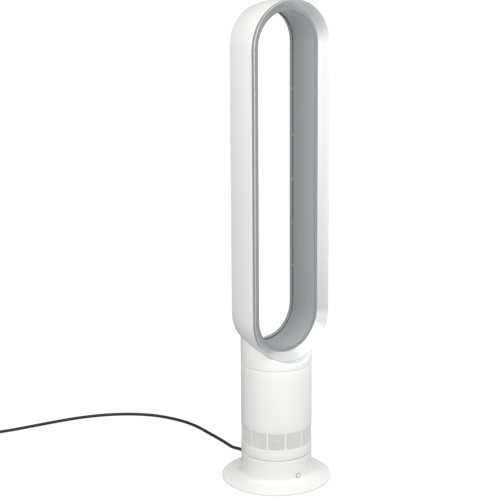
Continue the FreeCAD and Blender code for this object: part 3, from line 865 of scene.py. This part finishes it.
def streaked(name, color, rough, metallic, streak, vary, depth, shaded_ledge=None):
    """A satin metallic surface with fine streaks that follow the loop, and painted shade forward of
    `shaded_ledge`.
    """
    n = Nodes(name)
    around = loop_place(n)
    fine = n.noise(streak, 2, 0.65, around)
    wide = n.noise(streak / 9, 2, 0.5, around)
    both = n.math("ADD", n.math("MULTIPLY", fine, 0.6), n.math("MULTIPLY", wide, 0.4))
    streaks_and_shade = n.tint(n.spread(both, 0, 1), shade(color, -vary), shade(color, vary))
    if shaded_ledge:
        # Painted shade: forward of `shaded_ledge` the colour is 45 % darker, standing in for the shade on the
        # ledge in front of the foil.
        depth_in = n.add("ShaderNodeSeparateXYZ", {"Vector": n.place}).outputs["Y"]
        streaks_and_shade = n.tint(n.math("LESS_THAN", depth_in, -shaded_ledge), streaks_and_shade, shade(color, -0.45))
    n.link(streaks_and_shade, "Base Color")
    n.link(n.spread(both, rough + 0.05, rough - 0.05), "Roughness")
    n.bump(fine, depth)
    n.set(Metallic=metallic)
    return n.material


def circuit(name):
    """Green laminate with paler lines of track in a square pattern."""
    n = Nodes(name)
    track = n.add("ShaderNodeTexBrick", {
        "Vector": n.place, "Color1": (0.02, 0.16, 0.07, 1), "Color2": (0.03, 0.20, 0.09, 1),
        "Mortar": (0.10, 0.34, 0.16, 1), "Scale": 90, "Mortar Size": 0.03,
    })
    n.link(track.outputs["Color"], "Base Color")
    n.link(n.spread(n.noise(200), 0.28, 0.42), "Roughness")
    n.bump(track.outputs["Fac"], 0.00005)
    return n.material


def foamy(name):
    """Open-cell foam."""
    n = Nodes(name)
    cells = n.add("ShaderNodeTexVoronoi", {"Vector": n.place, "Scale": 700}).outputs["Distance"]
    n.link(n.tint(n.spread(cells, 0, 1, 0.1, 0.7), (0.05, 0.05, 0.055), (0.02, 0.02, 0.022)), "Base Color")
    n.bump(cells, 0.0006)
    n.set(Roughness=0.95)
    return n.material


def drawn_metal(name, color, rough, scale=(40, 40, 900)):
    """Turned or drawn metal with fine lines round it."""
    n = Nodes(name)
    stretched = n.add("ShaderNodeMapping", {"Vector": n.place, "Scale": scale}).outputs[0]
    lines = n.noise(1.0, 4, 0.6, stretched)
    n.link(n.tint(n.spread(lines, 0, 1), shade(color, -0.12), shade(color, 0.08)), "Base Color")
    n.link(n.spread(lines, rough - 0.06, rough + 0.08), "Roughness")
    n.bump(lines, 0.00002)
    n.set(Metallic=1.0)
    return n.material


WHITE = (0.80, 0.80, 0.795)
MATERIALS = {
    "white_shell": moulded("white_plastic", WHITE, 0.38, 1500, 0.00001, 0.008, coat=0.15),
    "white_button": moulded("button_plastic", (0.78, 0.78, 0.775), 0.32, 1800, 0.00001, 0.01, coat=0.3),
    "grey_ring": moulded("ring_metal", (0.34, 0.345, 0.355), 0.3, 1400, 0.00001, 0.03, metallic=0.6),
    "silver_bezel": streaked("silver_paint", (0.72, 0.725, 0.735), 0.28, 0.9, 1500, 0.05, 0.00001),
    # The grey inner wall's colour carries painted shade: it is darker on the ledge in front of the foil.
    "grey_airfoil": streaked(
        "grey_paint_and_shade", (0.46, 0.465, 0.475), 0.38, 0.3, 900, 0.03, 0.000006, FOIL_FRONT[1] * MM,
    ),
    "pale_grille": moulded("grille_plastic", (0.78, 0.78, 0.775), 0.45, 1200, 0.00001, 0.02),
    "grey_plastic": moulded("grey_plastic", (0.32, 0.325, 0.33), 0.5, 900, 0.00004, 0.04),
    "dark_plastic": moulded("dark_plastic", (0.035, 0.036, 0.04), 0.5, 900, 0.00004, 0.08),
    "steel": drawn_metal("steel", (0.56, 0.57, 0.59), 0.32),
    "motor_metal": drawn_metal("motor_metal", (0.46, 0.47, 0.48), 0.4, (30, 30, 500)),
    "circuit_board": circuit("circuit_board"),
    "acetal": moulded("acetal", (0.74, 0.73, 0.69), 0.35, 800, 0.00002, 0.02),
    "rubber": moulded("rubber", (0.03, 0.03, 0.032), 0.75, 700, 0.00008, 0.12),
    "foam": foamy("foam"),
    "black_cord": moulded("black_vinyl", (0.012, 0.012, 0.013), 0.5, 1100, 0.00006, 0.15),
    "brass_pins": drawn_metal("nickel_brass", (0.72, 0.66, 0.52), 0.25, (600, 60, 60)),
}


# ---- put the pieces on their bodies ----
def fit_piece(piece, body, slot, *nodes):
    piece.data.materials.clear()
    piece.data.materials.append(MATERIALS[slot])
    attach(piece, body)
    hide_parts(*nodes)
    return piece


cord = fit_piece(add_cord(), "base", "black_cord", "power_cord", "cord_coil")
relief = fit_piece(make_relief(), "base", "black_cord", "strain_relief")
tie = fit_piece(make_tie(), "base", "rubber", "cord_tie")
plug = fit_piece(make_plug(), "base", "black_cord", "plug_body")
pins = fit_piece(make_pins(), "base", "brass_pins", "plug_pins")

upper, lower = make_skins()
fit_piece(upper, "tower", "white_shell", "loop_upper_shell")
fit_piece(lower, "tower", "white_shell", "loop_lower_shell")
fit_piece(
    make_airfoil(), "tower", "grey_airfoil",
    "airfoil_left", "airfoil_right", "airfoil_top", "airfoil_bottom",
)
fit_piece(
    make_lip(), "tower", "grey_airfoil",
    "slot_lip_left", "slot_lip_right", "slot_lip_top", "slot_lip_bottom",
)
fit_piece(make_bezel(), "tower", "silver_bezel", "front_bezel")
fit_piece(make_spacers(), "tower", "grey_airfoil", "slot_spacers")
fit_piece(make_neck(), "tower", "white_shell", "neck_housing")
fit_piece(make_tower(), "tower", "white_shell", "body_shell")
fit_piece(make_panels(), "tower", "pale_grille", "inlet_grille")
fit_piece(make_base(), "base", "white_shell", "base_shell")
fit_piece(make_button(), "button", "white_button", "power_button")
fit_piece(make_ring(), "base", "grey_ring", "button_ring")
fit_piece(make_foot(), "base", "rubber", "foot_ring")
fit_piece(make_screws(), "base", "steel", "bottom_screws")

# The CAD nodes that stay, inside the fan or under it, take their finish from the record's slots.
for part in frame["record"]["subparts"]:
    for holder in frame["nodes"][part["node"]].material_slots:
        holder.link = "OBJECT"
        holder.material = MATERIALS[part["material_slot"]]


# ---- floor and light ----
def add_floor():
    mesh = bpy.data.meshes.new("floor")
    size = 40
    corners = [(-size, -size, 0), (size, -size, 0), (size, size, 0), (-size, size, 0)]
    mesh.from_pydata(corners, [], [(0, 1, 2, 3)])
    floor = bpy.data.objects.new("floor", mesh)
    bpy.context.scene.collection.objects.link(floor)
    floor.location.z = -0.0002
    n = Nodes("pale_floor")
    n.link(n.tint(n.noise(0.8, 2), (0.24, 0.24, 0.24), (0.26, 0.26, 0.26)), "Base Color")
    # Lit evenly where it is seen. Where the fan mirrors it, it is dark close by and behind on the left.
    seen = n.add("ShaderNodeLightPath").outputs["Is Camera Ray"]
    toward = n.add("ShaderNodeVectorMath", {0: n.place, 1: (0.62, -0.79, 0.0)}, operation="DOT_PRODUCT")
    away = n.add("ShaderNodeVectorMath", {0: n.place}, operation="LENGTH")
    reach = n.math("ADD", toward.outputs["Value"], away.outputs["Value"])
    mirrored = n.spread(reach, 0.06, 1.10, 0.1, 3.2)
    level = n.add("ShaderNodeMix", {"Factor": seen, "A": mirrored, "B": 0.86}, data_type="FLOAT")
    n.link(level.outputs["Result"], "Emission Strength")
    n.set(Roughness=0.9, Emission_Color=(1, 1, 1, 1), Specular_IOR_Level=0.1)
    mesh.materials.append(n.material)


def add_sun(name, azimuth, elevation, strength, spread):
    data = bpy.data.lights.new(name, "SUN")
    data.energy = strength
    data.angle = math.radians(spread)
    light = bpy.data.objects.new(name, data)
    bpy.context.scene.collection.objects.link(light)
    a, e = math.radians(azimuth), math.radians(elevation)
    toward = Vector((math.sin(a) * math.cos(e), -math.cos(a) * math.cos(e), math.sin(e)))
    light.rotation_euler = toward.to_track_quat("Z", "Y").to_euler()


def add_softbox(name, place, aim, width, height, power):
    """A panel of light, near enough to fall off down the fan's height."""
    data = bpy.data.lights.new(name, "AREA")
    data.shape = "RECTANGLE"
    data.size, data.size_y = width, height
    data.energy = power
    light = bpy.data.objects.new(name, data)
    bpy.context.scene.collection.objects.link(light)
    light.location = place
    light.rotation_euler = (Vector(place) - Vector(aim)).to_track_quat("Z", "Y").to_euler()
    light.visible_camera = False


def add_world():
    """Bright in front and above, dimmer at the sides, and white where the camera sees it."""
    world = bpy.data.worlds.new("Studio")
    bpy.context.scene.world = world
    world.use_nodes = True
    tree = world.node_tree
    nodes, links = tree.nodes, tree.links
    nodes.clear()
    place = nodes.new("ShaderNodeTexCoord")
    facing = nodes.new("ShaderNodeVectorMath")
    facing.operation = "DOT_PRODUCT"
    links.new(place.outputs["Generated"], facing.inputs[0])
    facing.inputs[1].default_value = (0.36, -0.82, 0.44)
    level = nodes.new("ShaderNodeMapRange")
    level.interpolation_type = "SMOOTHSTEP"
    level.inputs["From Min"].default_value = -0.7
    level.inputs["From Max"].default_value = 0.9
    level.inputs["To Min"].default_value = 0.38
    level.inputs["To Max"].default_value = 1.08
    links.new(facing.outputs["Value"], level.inputs["Value"])
    lit = nodes.new("ShaderNodeBackground")
    links.new(level.outputs["Result"], lit.inputs["Strength"])
    seen = nodes.new("ShaderNodeBackground")
    seen.inputs["Strength"].default_value = 1.0
    path = nodes.new("ShaderNodeLightPath")
    mix = nodes.new("ShaderNodeMixShader")
    links.new(path.outputs["Is Camera Ray"], mix.inputs["Fac"])
    links.new(lit.outputs[0], mix.inputs[1])
    links.new(seen.outputs[0], mix.inputs[2])
    output = nodes.new("ShaderNodeOutputWorld")
    links.new(mix.outputs[0], output.inputs["Surface"])
    for background in (lit, seen):
        background.inputs["Color"].default_value = (1, 1, 1, 1)


add_floor()
add_world()
add_softbox("key", (-1.45, -1.10, 1.75), (0, 0, 0.75), 1.1, 1.1, 10)
add_softbox("side", (-1.85, -0.46, 1.25), (0, 0, 0.8), 0.8, 1.0, 10)
add_sun("fill", -20, 50, 0.45, 60)
bpy.context.scene.view_settings.view_transform = "Standard"
